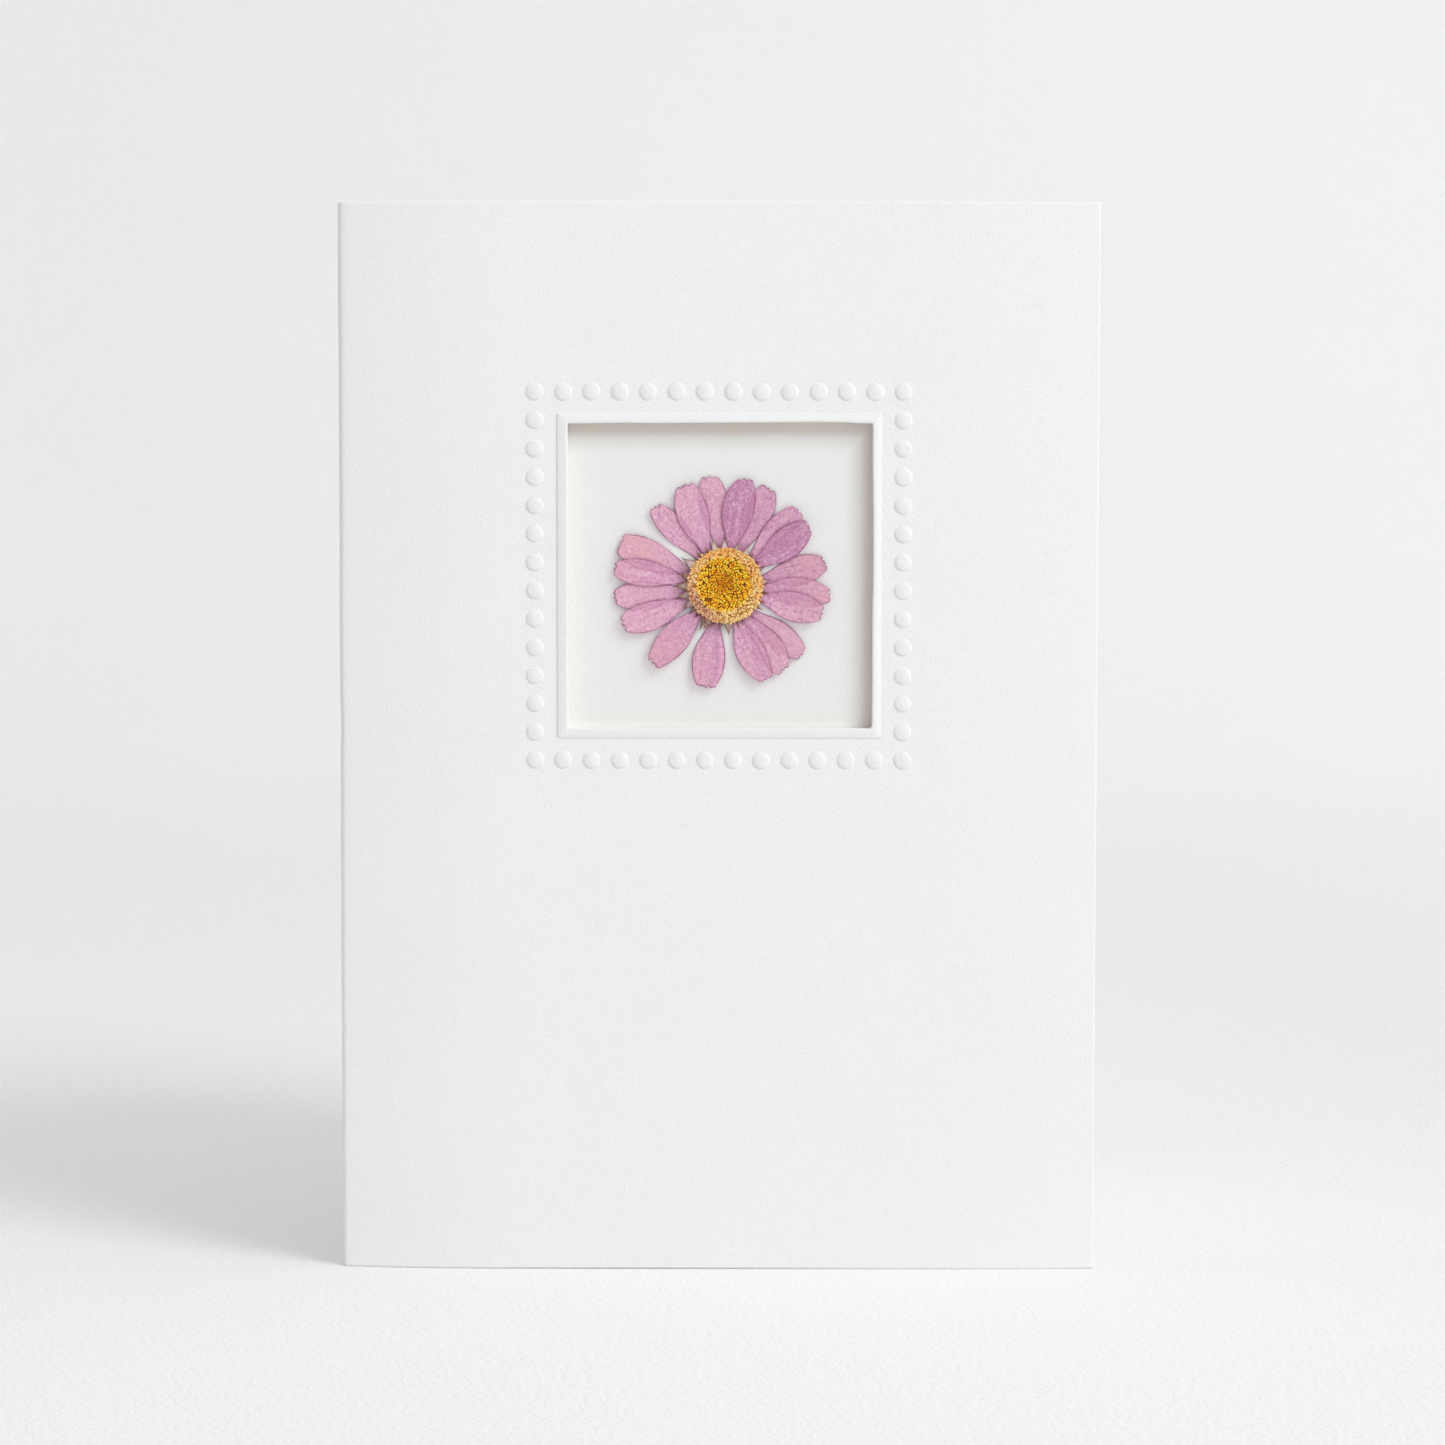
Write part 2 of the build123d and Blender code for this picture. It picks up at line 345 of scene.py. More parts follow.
def make_bract_skin():
    """Dark brown scales with a paler middle."""
    s = Shader("bract")
    grain = s.grain(2600, 3.0, 0.6)
    skin = s.layers(
        s.blend(s.span(grain, 0.35, 0.65), rgb(96, 50, 40), rgb(158, 104, 88)),
        (s.times(s.given("middle"), s.given("pale")), rgb(224, 208, 204)),
    )
    s.set(Base_Color=skin, Roughness=0.6, Specular_IOR_Level=0.3)
    s.relief(grain, 0.04 * MM)
    return s.material


def make_floret_skin():
    """Florets: gold in the middle, peach towards the rim, and mauve at the lower left."""
    s = Shader("floret")
    tint, peach, mauve, deep = (s.given(key) for key in ("tint", "peach", "mauve", "deep"))
    grain = s.grain(5200, 3.0, 0.6)
    gold = s.blend(tint, rgb(252, 160, 2), rgb(255, 222, 62))
    fuzz = s.blend(tint, rgb(252, 184, 92), rgb(255, 226, 158))
    lilac = s.blend(tint, rgb(206, 138, 112), rgb(250, 204, 168))
    bare = s.blend(peach, gold, s.blend(mauve, fuzz, lilac))
    pitted = s.blend(0.35, bare, rgb(200, 130, 60), "MULTIPLY")
    skin = s.blend(deep, s.blend(s.span(grain, 0.30, 0.55), pitted, bare), rgb(122, 58, 4))
    s.set(Base_Color=skin, Roughness=0.45, Specular_IOR_Level=0.32)
    s.relief(grain, 0.03 * MM)
    return s.material


CARD_STOCK = make_card_stock()
BACKING_PAPER = make_backing_paper()
TAPE = make_tape()
GLUE = make_glue()
PETAL = make_petal_skin("petal", rgb(231, 178, 201), rgb(219, 161, 193), rgb(242, 199, 215))
PETAL_DEEP = make_petal_skin(
    "petal_deep", rgb(210, 154, 186), rgb(194, 134, 172), rgb(226, 176, 202)
)
BRACT = make_bract_skin()
FLORET = make_floret_skin()


def outline(rows):
    """The outer points of a grid, in order round it."""
    right = [row[-1] for row in rows[1:]]
    left = [row[0] for row in rows[-2:0:-1]]
    return rows[0] + right + rows[-1][-2::-1] + left


class Skin:
    """Points and faces gathered patch by patch into one closed mesh, with values at the points."""

    def __init__(self):
        self.points = []
        self.faces = []
        self.values = {}

    def add(self, point, **values):
        self.points.append(point)
        for key, value in values.items():
            self.values.setdefault(key, {})[len(self.points) - 1] = value
        return len(self.points) - 1

    def mark(self, name, points, value):
        self.values.setdefault(name, {}).update(dict.fromkeys(points, value))

    def grid(self, rows, around=False):
        """Add rows of points with quads between them."""
        index = [[self.add(point) for point in row] for row in rows]
        self.weave(index, around)
        return index

    def weave(self, index, around=False):
        """Quads between rows of equal length. around joins each row's ends."""
        for a, b in zip(index, index[1:]):
            for j in range(len(a) if around else len(a) - 1):
                k = (j + 1) % len(a)
                self.faces.append((a[j], a[k], b[k], b[j]))

    def fan(self, ring, centre, **values):
        """Close a ring of points with triangles to a centre."""
        middle = self.add(centre, **values)
        for j in range(len(ring)):
            self.faces.append((ring[j], ring[(j + 1) % len(ring)], middle))
        return middle

    def leaf(self, along, across, place):
        """A thin closed leaf. place gives a point and its values for t, from 0 to 1 along the leaf,
        v, from -1 to 1 across it, and whether it is on the bottom."""
        sheets = []
        for bottom in (False, True):
            rows = []
            for i in range(along + 1):
                steps = [place(i / along, -1 + 2 * j / across, bottom) for j in range(across + 1)]
                rows.append([self.add(point, **values) for point, values in steps])
            self.weave(rows)
            sheets.append(rows)
        self.weave([outline(rows) for rows in sheets], around=True)

    def build(self, name, material, weld=0.0):
        mesh = bpy.data.meshes.new(name)
        mesh.from_pydata(self.points, [], self.faces)
        for key, given in self.values.items():
            layer = mesh.attributes.new(key, "FLOAT", "POINT")
            layer.data.foreach_set("value", [given.get(i, 0.0) for i in range(len(self.points))])
        work = bmesh.new()
        work.from_mesh(mesh)
        if weld:
            bmesh.ops.remove_doubles(work, verts=work.verts, dist=weld)
        bmesh.ops.recalc_face_normals(work, faces=work.faces)
        work.to_mesh(mesh)
        work.free()
        mesh.polygons.foreach_set("use_smooth", [True] * len(mesh.polygons))
        mesh.materials.append(material)
        made = add_object(name, mesh)
        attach(made, "root")
        return made


# The card's mesh is a sheet of columns and rows, finer by its edges, the fold and the window
BOW_SHARES = (0.0, 0.006, 0.03, 0.1, 0.25, 0.45, 0.65, 0.85)
SPRING_SHARES = (0.0, 0.12, 0.25, 0.38, 0.5, 0.62, 0.74, 0.85, 0.93, 0.97, 0.99)
FOLD_STEPS = 12
FINE_BY_FOLD, FINE_BY_EDGE, THINNING = 24, 9, 8  # the back keeps these columns and each eighth one
EDGE_ROWS = (0.0, 0.15 * MM, 0.8 * MM)
FOOT = 3.0 * MM
ROWS_BELOW, ROWS_ABOVE = 20, 9


def front_columns():
    """Plan points (x, y, turn) of the front, from its free edge to the middle of the fold."""
    columns = []
    start = BOW_ANGLE - EDGE / BOW_RADIUS
    for share in BOW_SHARES:
        a = start * (1 - share)
        columns.append((BOW_X + BOW_RADIUS * sin(a), BOW_RADIUS * (1 - cos(a)), a))
    columns.append((BOW_X, 0.0, 0.0))
    for k in range(DOTS * CELL, -1, -1):
        columns.append((WINDOW_X - GRID_HALF + k * PITCH / CELL, 0.0, 0.0))
    for share in SPRING_SHARES:
        a = -SPRING_ANGLE * share
        columns.append((SPRING_X + SPRING_RADIUS * sin(a), SPRING_RADIUS * (1 - cos(a)), a))
    turn = pi / 2 - SPRING_ANGLE - OPENING / 2
    for step in range(FOLD_STEPS + 1):
        a = -SPRING_ANGLE - turn * step / FOLD_STEPS
        columns.append((FOLD_X + FOLD_RADIUS * sin(a), FOLD_Y - FOLD_RADIUS * cos(a), a))
    return columns


def card_columns():
    """Columns of the front and of its mirror, the back, as (x, y, normal x, normal y)."""
    front = [(x, y, sin(a), -cos(a)) for x, y, a in front_columns()]
    c, s = cos(OPENING), sin(OPENING)

    def flip(x, y):
        return x * c + y * s, x * s - y * c

    back = []
    for x, y, nx, ny in reversed(front[:-1]):
        px, py = flip(x - FOLD_X, y - FOLD_Y)
        back.append((FOLD_X + px, FOLD_Y + py, *flip(nx, ny)))
    near_edge = len(back) - FINE_BY_EDGE
    kept = [k for k in range(len(back)) if k < FINE_BY_FOLD or k % THINNING == 0 or k >= near_edge]
    return front, [back[k] for k in kept]


def card_rows():
    low, high = WINDOW_Z - GRID_HALF, WINDOW_Z + GRID_HALF
    top = CARD_HEIGHT - EDGE
    above = top - EDGE_ROWS[-1] - high
    rows = [EDGE + step for step in EDGE_ROWS]
    rows += [FOOT + (low - FOOT) * k / ROWS_BELOW for k in range(ROWS_BELOW)]
    rows += [low + k * PITCH / CELL for k in range(DOTS * CELL + 1)]
    rows += [high + above * k / ROWS_ABOVE for k in range(1, ROWS_ABOVE)]
    return rows + [top - step for step in reversed(EDGE_ROWS)]


FRONT_COLUMNS, BACK_COLUMNS = card_columns()
COLUMNS = FRONT_COLUMNS + BACK_COLUMNS
ROWS = card_rows()
FOLD_COLUMN = len(FRONT_COLUMNS) - 1
LAST_COLUMN = len(COLUMNS) - 1
TOP_ROW = len(ROWS) - 1

# Wear of the card, and the painted shade along its fold and its foot
CRUSH_Z = 75.5 * MM  # the one clear crush in the fold
CRUSH_REACH = 2.2 * MM
CRUSH_DEPTH = 0.16 * MM
FOLD_WEAR = 0.10 * MM
FOLD_COLUMNS = 8.0  # reach of the wear, in columns
INNER_WEAR = 0.6  # the inner face is crushed less
FOLD_SHADE = 0.12
FOLD_SHADE_X = FOLD_X - FOLD_RADIUS + 0.70 * MM
FOLD_SHADE_REACH = 0.50 * MM
FOOT_SHADE_X = -10 * MM
FOOT_SHADE_REACH = 26 * MM


def place_card(x, y, z):
    return (x, FRONT_Y + y, z)


def card_surface(i, z, depth):
    """Plan point of a column at a height, under the outer face by the depth and the fold's wear."""
    x, y, nx, ny = COLUMNS[i]
    if abs(i - FOLD_COLUMN) < 2 * FOLD_COLUMNS:
        slow = 0.5 + 0.5 * rough(3.1, 9 * z / CARD_HEIGHT, 1.0)
        wear = bell(i, FOLD_COLUMN, FOLD_COLUMNS)
        wear *= FOLD_WEAR * slow + CRUSH_DEPTH * bell(z, CRUSH_Z, CRUSH_REACH)
        depth += wear * (1 if depth < SHEET / 2 else INNER_WEAR)
    return (x - nx * depth, y - ny * depth)


def painted_foot_shade(i):
    """How dark the painted shade at the card's foot is at a column, most of all left of its middle.
    """
    return 0.25 + 0.70 * bell(COLUMNS[i][0], FOOT_SHADE_X, FOOT_SHADE_REACH)


def painted_edge_highlight(i, j):
    """How strong the painted highlight on the cut edge is: the free edge less so towards the foot."""
    return 0.45 + 0.55 * ROWS[j] / CARD_HEIGHT if i == 0 else 1.0


def fold_shade(i, j):
    """How dark the painted shade along the fold is. It fades towards the foot."""
    if i > FOLD_COLUMN:
        return 0.0
    fade = smooth((ROWS[j] - 20 * MM) / (110 * MM))
    return FOLD_SHADE * fade * bell(COLUMNS[i][0], FOLD_SHADE_X, FOLD_SHADE_REACH)


def within_grid(places, middle):
    """The first and last of the places that lie on the dots' grid."""
    inside = [k for k, at in enumerate(places) if abs(at - middle) < GRID_HALF + 1e-9]
    return inside[0], inside[-1]


def add_panels(skin):
    """Both faces of the sheet, left open where the dots and the window go."""
    first_column, last_column = within_grid([column[0] for column in FRONT_COLUMNS], WINDOW_X)
    first_row, last_row = within_grid(ROWS, WINDOW_Z)
    for depth in (0.0, SHEET):
        outer = depth == 0.0
        index = {}
        for i in range(len(COLUMNS)):
            for j, z in enumerate(ROWS):
                x, y = card_surface(i, z, depth)
                # crease carries painted shade by the fold and the foot, cut a painted highlight on
                # two edges
                crease = max(fold_shade(i, j), painted_foot_shade(i) * (j == 0)) * outer
                cut = painted_edge_highlight(i, j) * (outer and (i == 0 or j == TOP_ROW))
                index[i, j] = skin.add(place_card(x, y, z), crease=crease, cut=cut)
        for i in range(LAST_COLUMN):
            for j in range(TOP_ROW):
                if not (first_column <= i < last_column and first_row <= j < last_row):
                    corners = (i, j), (i + 1, j), (i + 1, j + 1), (i, j + 1)
                    skin.faces.append(tuple(index[corner] for corner in corners))


# Dots, low domes with a crisp edge, and their hollows: reach and lift as shares, from outside in
DOME_REACHES = (0.998, 0.985, 0.965, 0.935, 0.89, 0.82, 0.73, 0.62, 0.49, 0.35, 0.18)
DOT_PROFILE = ((1.14, 0.0), (1.05, 0.0), (1.02, 0.0), (1.006, 0.015))
DOT_PROFILE += tuple((reach, (1 - reach ** 2) ** 0.56) for reach in DOME_REACHES)
HOLLOW_PROFILE = ((1.05, 0.0), (0.93, 0.06), (0.83, 0.35), (0.73, 0.72), (0.60, 0.92), (0.35, 1.0))
HOLLOW_SHARE = 0.85  # a hollow's depth over its dot's rise
DOT_EDGE = 1.01  # reach of the pressed part
# A dot's grey line is painted shade at its foot, on the side away from the lamp
SHADE_SIDE = radians(242)  # where a dot's grey line is
DOT_SHADE = 0.20


def quarter_turned(x, y, quarters):
    return [(x, y), (-y, x), (-x, -y), (y, -x)][quarters]


def add_dot_cell(skin, cx, cz, level, profile, rise, number):
    """One dot in its square cell. level is the sheet's surface, with + towards the viewer."""
    picked = random.Random(number)
    dx, dz = (DOT_SHIFT + picked.uniform(-0.035, 0.035) * MM for _ in range(2))
    size = DOT_RADIUS * picked.uniform(0.975, 1.025)
    tilt = picked.uniform(0, 2 * pi)
    lean = picked.uniform(0.0, 0.07)
    height = rise * picked.uniform(0.93, 1.0)
    pinch = picked.uniform(0, 2 * pi)
    half = PITCH / 2
    square = []
    for side in range(4):
        for k in range(CELL):
            t = -half + 2 * half * k / CELL
            square.append(quarter_turned(half, t, side))
    angles = [-pi / 4 + 2 * pi * k / len(square) for k in range(len(square))]
    rows = [[place_card(cx + u, -level, cz + w) for u, w in square]]
    for reach, lift in profile:
        row = []
        for a in angles:
            wobble = 1 + 0.016 * rough(*polar(2.2, a), number * 0.7)
            u, w = polar(size * reach * wobble, a)
            crown = 1 - lean * (0.5 + 0.5 * reach * cos(a - tilt))
            dent = 0.07 * bell(reach, 0.35, 0.22) * max(0, cos(a - pinch))
            h = level + height * lift * crown - height * dent
            row.append(place_card(cx + (dx + u), -h, cz + (dz + w)))
        rows.append(row)
    index = skin.grid(rows, around=True)
    top = level + height * (1 - lean / 2)
    middle = skin.fan(index[-1], place_card(cx + dx, -top, cz + dz))
    skin.mark("pressed", [middle], 1.0)
    for (reach, _), ring in zip(profile, index[1:]):
        if reach < DOT_EDGE:
            skin.mark("pressed", ring, 1.0)
        # Painted shade: a grey line at each dot's foot, on the side away from the lamp
        band = smooth((reach - 0.7) / 0.25) * smooth((1.05 - reach) / 0.03)
        for a, point in zip(angles, ring):
            skin.mark("crease", [point], DOT_SHADE * max(0.0, cos(a - SHADE_SIDE)) * band)


def add_dots(skin):
    """A square ring of dots, DOTS along each side, and their hollows on the inner face."""
    ends = (0, DOTS - 1)
    places = [(column, row) for column in range(DOTS) for row in range(DOTS)]
    ring = [place for place in places if place[0] in ends or place[1] in ends]
    for number, (column, row) in enumerate(ring):
        cx = WINDOW_X - DOT_RING_HALF + column * PITCH
        cz = WINDOW_Z - DOT_RING_HALF + row * PITCH
        add_dot_cell(skin, cx, cz, 0.0, DOT_PROFILE, DOT_RISE, number)
        add_dot_cell(skin, cx, cz, -SHEET, HOLLOW_PROFILE, HOLLOW_SHARE * DOT_RISE, number)


# The frame's section: distance outwards from the window's edge, height over the front face, in mm
FRAME_REACH = (RING_HALF - WINDOW_HALF) / MM
FRAME_SECTION = (
    (FRAME_REACH, 0.0), (2.1, 0.0), (1.75, 0.0), (1.52, 0.0), (1.44, 0.003), (1.415, 0.012),
    (1.395, 0.035), (1.37, 0.060), (1.32, 0.085), (1.24, 0.113), (1.14, 0.146), (1.02, 0.183),
    (0.90, 0.216), (0.77, 0.247), (0.66, 0.273), (0.54, 0.294), (0.43, 0.309), (0.34, 0.316),
    (0.26, 0.312), (0.19, 0.294), (0.14, 0.258), (0.11, 0.205), (0.095, 0.13), (0.09, 0.0),
    (0.09, -0.3), (0.09, -0.7), (0.09, -1.1), (0.09, -1.45), (0.1, -1.56), (0.14, -1.59),
    (0.25, -1.595), (0.36, -1.59), (0.4, -1.56), (0.42, -1.45), (0.42, -1.1), (0.42, -0.7),
    (0.42, -0.35), (0.44, -0.2), (0.53, -0.13), (0.72, -0.13), (0.95, -0.2), (1.15, -0.27),
    (1.35, -0.34), (1.5, -0.39), (1.7, -0.4), (FRAME_REACH, -0.4),
)
FRAME_FOOT = 1.42  # where the ridge meets the front face, in mm
WAVY_ABOVE = -1.5  # the cut edge is straight below this height, in mm
# How far the hand-cut edge strays inwards, in mm, at even steps upwards or to the right
RIGHT_CUT = (0.10, 0.08, 0.07, 0.06, 0.07, 0.06, -0.03, -0.01, -0.01, 0.0, 0.03, 0.06, 0.12, 0.10)
TOP_CUT = (0.19, 0.13, 0.06, 0.10, 0.08, 0.06, 0.06, 0.03, 0.04, -0.03, -0.12, -0.03, 0.11)
LEFT_CUT = (0.10, 0.12, 0.12, 0.12, 0.12, 0.12, 0.12, 0.12, 0.12, 0.13, 0.10, 0.03)
# How dark the painted shade line outside the frame's right, top, left and bottom is
SIDE_SHADES = (0.45, 0.0, 1.2, 0.75)
CORNER_STEPS = 3


def side_steps(half, radii):
    """Points once round a square, always the same number, from its lower right corner upwards.
    radii: lower right, upper right, upper left, lower left."""
    steps = (DOTS - 2) * CELL
    points = []
    for side in range(4):
        first, second = radii[side], radii[(side + 1) % 4]
        for k in range(steps):
            if first <= 0:
                p = (half, -half + 2 * half * k / steps)
            elif CORNER_STEPS <= k <= steps - CORNER_STEPS:
                straight = 2 * half - first - second
                p = (half, first - half + straight * (k - CORNER_STEPS) / (steps - 2 * CORNER_STEPS))
            else:
                sign, radius, j = (-1, first, k) if k < CORNER_STEPS else (1, second, steps - k)
                a = pi / 4 * (1 - j / CORNER_STEPS)
                inner = half - radius
                p = (inner + radius * cos(a), sign * (inner + radius * sin(a)))
            points.append(quarter_turned(*p, side))
    return points


def corner_radii(d):
    """Radii of the corners at a distance from the window's edge."""
    if d == FRAME_REACH:
        return (0.0,) * 4
    plain = mix(0.24, 0.40, d / FRAME_FOOT) * MM
    return (mix(0.50, 0.40, d / FRAME_FOOT) * MM, plain, plain, plain)


def stray(cut, share):
    """The cut's stray at a share from -1 to 1 along its side."""
    at = min(max((share + 0.95) / 1.9, 0.0), 0.9999) * (len(cut) - 1)
    return mix(cut[int(at)], cut[int(at) + 1], at - int(at))


def frame_shift(d):
    """The pressed ridge isn't quite centred on the window: sideways and upward shift in mm."""
    outer = smooth((d - 0.5) / 0.7)
    fade = 1 - smooth((d - 1.5) / 0.6)
    return mix(0.07, -0.05, outer) * fade, mix(0.02, -0.06, outer) * fade


def frame_point(d, h, half, u, w):
    """A point of the section (d, h) at (u, w) from the window's middle, as wavy as hand work is."""
    over, up = u / half, w / half
    near_edge = smooth(1.0 - d) * (h > WAVY_ABOVE)
    wave = rough(u * 130, w * 130, 2.0) * 0.075 + rough(u * 520, w * 520, 5.0) * 0.03
    wave *= 1.0 if max(over, up) > 0.9 else 0.45
    scale = 1 + wave * near_edge * MM * (0.35 if h < 0 else 1.0) / half
    swell = -0.008 * abs(rough(u * 160, w * 160, 7.0)) * smooth((1.9 - d) / 0.6)
    inward_x = stray(RIGHT_CUT, up) * smooth((over - 0.9) / 0.08)
    inward_x -= stray(LEFT_CUT, up) * smooth((-over - 0.9) / 0.08)
    inward_z = stray(TOP_CUT, over) * smooth((up - 0.9) / 0.08)
    aside, upward = frame_shift(d)
    at_x = WINDOW_X + u * scale + (aside - inward_x * near_edge) * MM
    at_z = WINDOW_Z + w * scale + (upward - inward_z * near_edge) * MM
    return place_card(at_x, -(h + swell * (h > 0)) * MM, at_z)


def add_window_frame(skin):
    """The raised frame and the turned-in lip: one section carried round the window."""
    rows = []
    for d, h in FRAME_SECTION:
        half = WINDOW_HALF + d * MM
        rows.append([frame_point(d, h, half, u, w) for u, w in side_steps(half, corner_radii(d))])
    index = skin.grid(rows, around=True)
    for (d, h), ring in zip(FRAME_SECTION, index):
        # Painted shade: a grey line at the frame's outer foot, darkest at the left and bottom
        if h >= 0:
            side = len(ring) // 4
            for k, share in enumerate(SIDE_SHADES):
                part = ring[k * side:(k + 1) * side]
                skin.mark("crease", part, 0.42 * share * bell(d, 1.41, 0.085))


def add_rim(skin):
    """The sheet's rounded cut edges, once round the unfolded sheet."""
    loop = [(i, 0) for i in range(len(COLUMNS))] + [(LAST_COLUMN, j) for j in range(1, TOP_ROW + 1)]
    loop += [(i, TOP_ROW) for i in range(LAST_COLUMN - 1, -1, -1)]
    loop += [(0, j) for j in range(TOP_ROW - 1, 0, -1)]
    arc = [radians(a) for a in (0, 22, 45, 67, 90)]
    profile = [(sin(a), EDGE * (1 - cos(a))) for a in arc]
    profile += [(sin(a), SHEET - EDGE * (1 - cos(a))) for a in reversed(arc)]
    rim = []
    for out, depth in profile:
        row = []
        for i, j in loop:
            z = ROWS[j]
            x, y = card_surface(i, z, depth)
            nx, ny = COLUMNS[i][2:]
            tx, ty = {0: (-ny, nx), LAST_COLUMN: (ny, -nx)}.get(i, (0.0, 0.0))
            up = {0: -1.0, TOP_ROW: 1.0}.get(j, 0.0)
            reach = out * EDGE * (1 - 0.25 * abs(rough(i * 1.7, j * 2.3, z * 700)))
            at = place_card(x + tx * reach, y + ty * reach, z + up * reach)
            # Painted highlight on the free and top edges, painted shade along the foot edge
            cut = painted_edge_highlight(i, j) * (i == 0 or up > 0)
            row.append(skin.add(at, crease=painted_foot_shade(i) * (up < 0), cut=cut))
        rim.append(row)
    skin.weave(rim, around=True)


def make_card():
    skin = Skin()
    add_panels(skin)
    add_dots(skin)
    add_window_frame(skin)
    add_rim(skin)
    card = skin.build("card_skin", CARD_STOCK, weld=0.002 * MM)
    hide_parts("folded_card")


def dress(node, material):
    """Finish a piece that keeps its own shape."""
    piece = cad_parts[node]
    piece.data.materials.clear()
    piece.data.materials.append(material)


make_card()
dress("window_backing", BACKING_PAPER)
dress("glue_dab", GLUE)
for strip in ("left", "right", "bottom", "top"):
    dress(f"tape_{strip}", TAPE)


def flower_point(x, y, z):
    """A point in mm to the right, up and forwards from the flower's middle on the backing."""
    return tuple(FLOWER + Vector((x * MM, -z * MM, y * MM)))


# Petals, anticlockwise from the right: directions of root and tip in degrees, reach from the flower's
# middle and width in mm, layer, lift of the tip in mm, share of peach, how creased its edge is,
# sideways bow in mm, where along it is widest, width of the tip as a share, paler or darker tone
PETALS = (
    (9.0, 13.2, 14.3, 4.1, 0, 0.50, 0.45, 0.0, -0.25, 0.69, 0.50, -0.10),
    (33.8, 35.4, 14.3, 4.3, 2, 0.55, 0.05, 0.0, -0.12, 0.67, 0.50, 0.0),
    (45.5, 46.0, 14.6, 4.0, 1, 0.50, 0.05, 0.0, -0.05, 0.66, 0.54, -0.08),
    (66.5, 65.7, 14.9, 4.2, 0, 0.40, 0.0, 0.0, 0.0, 0.72, 0.54, -0.12),
    (76.0, 79.8, 15.1, 4.5, 1, 0.45, 0.0, 0.0, 0.22, 0.65, 0.50, 0.0),
    (97.0, 98.0, 15.3, 4.1, 0, 0.35, 0.20, 0.0, 0.0, 0.70, 0.56, 0.08),
    (119.0, 112.2, 15.1, 4.5, 1, 0.45, 0.10, 0.0, 0.35, 0.67, 0.60, 0.05),
    (131.8, 132.0, 14.7, 3.5, 0, 0.60, 0.10, 0.0, 0.0, 0.70, 0.54, 0.05),
    (159.5, 158.2, 15.8, 4.4, 0, 0.60, 0.75, 0.0, 0.05, 0.70, 0.66, 0.06),
    (171.0, 171.2, 15.6, 3.8, 1, 0.65, 0.20, 0.0, 0.0, 0.71, 0.54, 0.0),
    (188.5, 186.3, 15.5, 4.0, 0, 0.60, 0.15, 0.0, 0.10, 0.70, 0.52, 0.06),
    (204.5, 200.8, 15.3, 4.1, 1, 0.85, 0.15, 0.0, 0.20, 0.71, 0.58, 0.04),
    (224.0, 227.2, 14.8, 4.2, 2, 0.75, 0.40, 0.0, -0.10, 0.62, 0.52, -0.16),
    (254.5, 259.1, 14.4, 4.6, 0, 0.95, 0.15, 1.0, -0.24, 0.67, 0.58, -0.10),
    (290.5, 293.8, 14.3, 4.1, 2, 0.65, 0.10, 0.0, -0.45, 0.62, 0.50, -0.04),
    (303.0, 305.0, 14.4, 4.2, 1, 0.60, 0.20, 0.0, 0.0, 0.68, 0.52, 0.08),
    (313.0, 318.6, 14.4, 3.9, 0, 0.50, 0.25, 0.0, -0.20, 0.66, 0.52, 0.22),
    (340.0, 344.0, 14.1, 4.2, 2, 0.65, 0.10, 0.0, -0.06, 0.64, 0.50, 0.02),
    (354.0, 355.1, 14.7, 4.1, 1, 0.55, 0.40, 0.0, 0.04, 0.62, 0.48, 0.0),
)
DEEP_PETALS = {2, 5}
ROOT_RADIUS = 3.0
LAYER_PITCH = 0.2
PETAL_THICKNESS = 0.06
PETAL_STEPS = (72, 28)  # mesh steps along and across
ROOT_WIDTH = 0.21  # as a share of the petal's width
CREASE_V, CREASE_REACH, CREASE_HEIGHT = 0.62, 0.13, 0.16


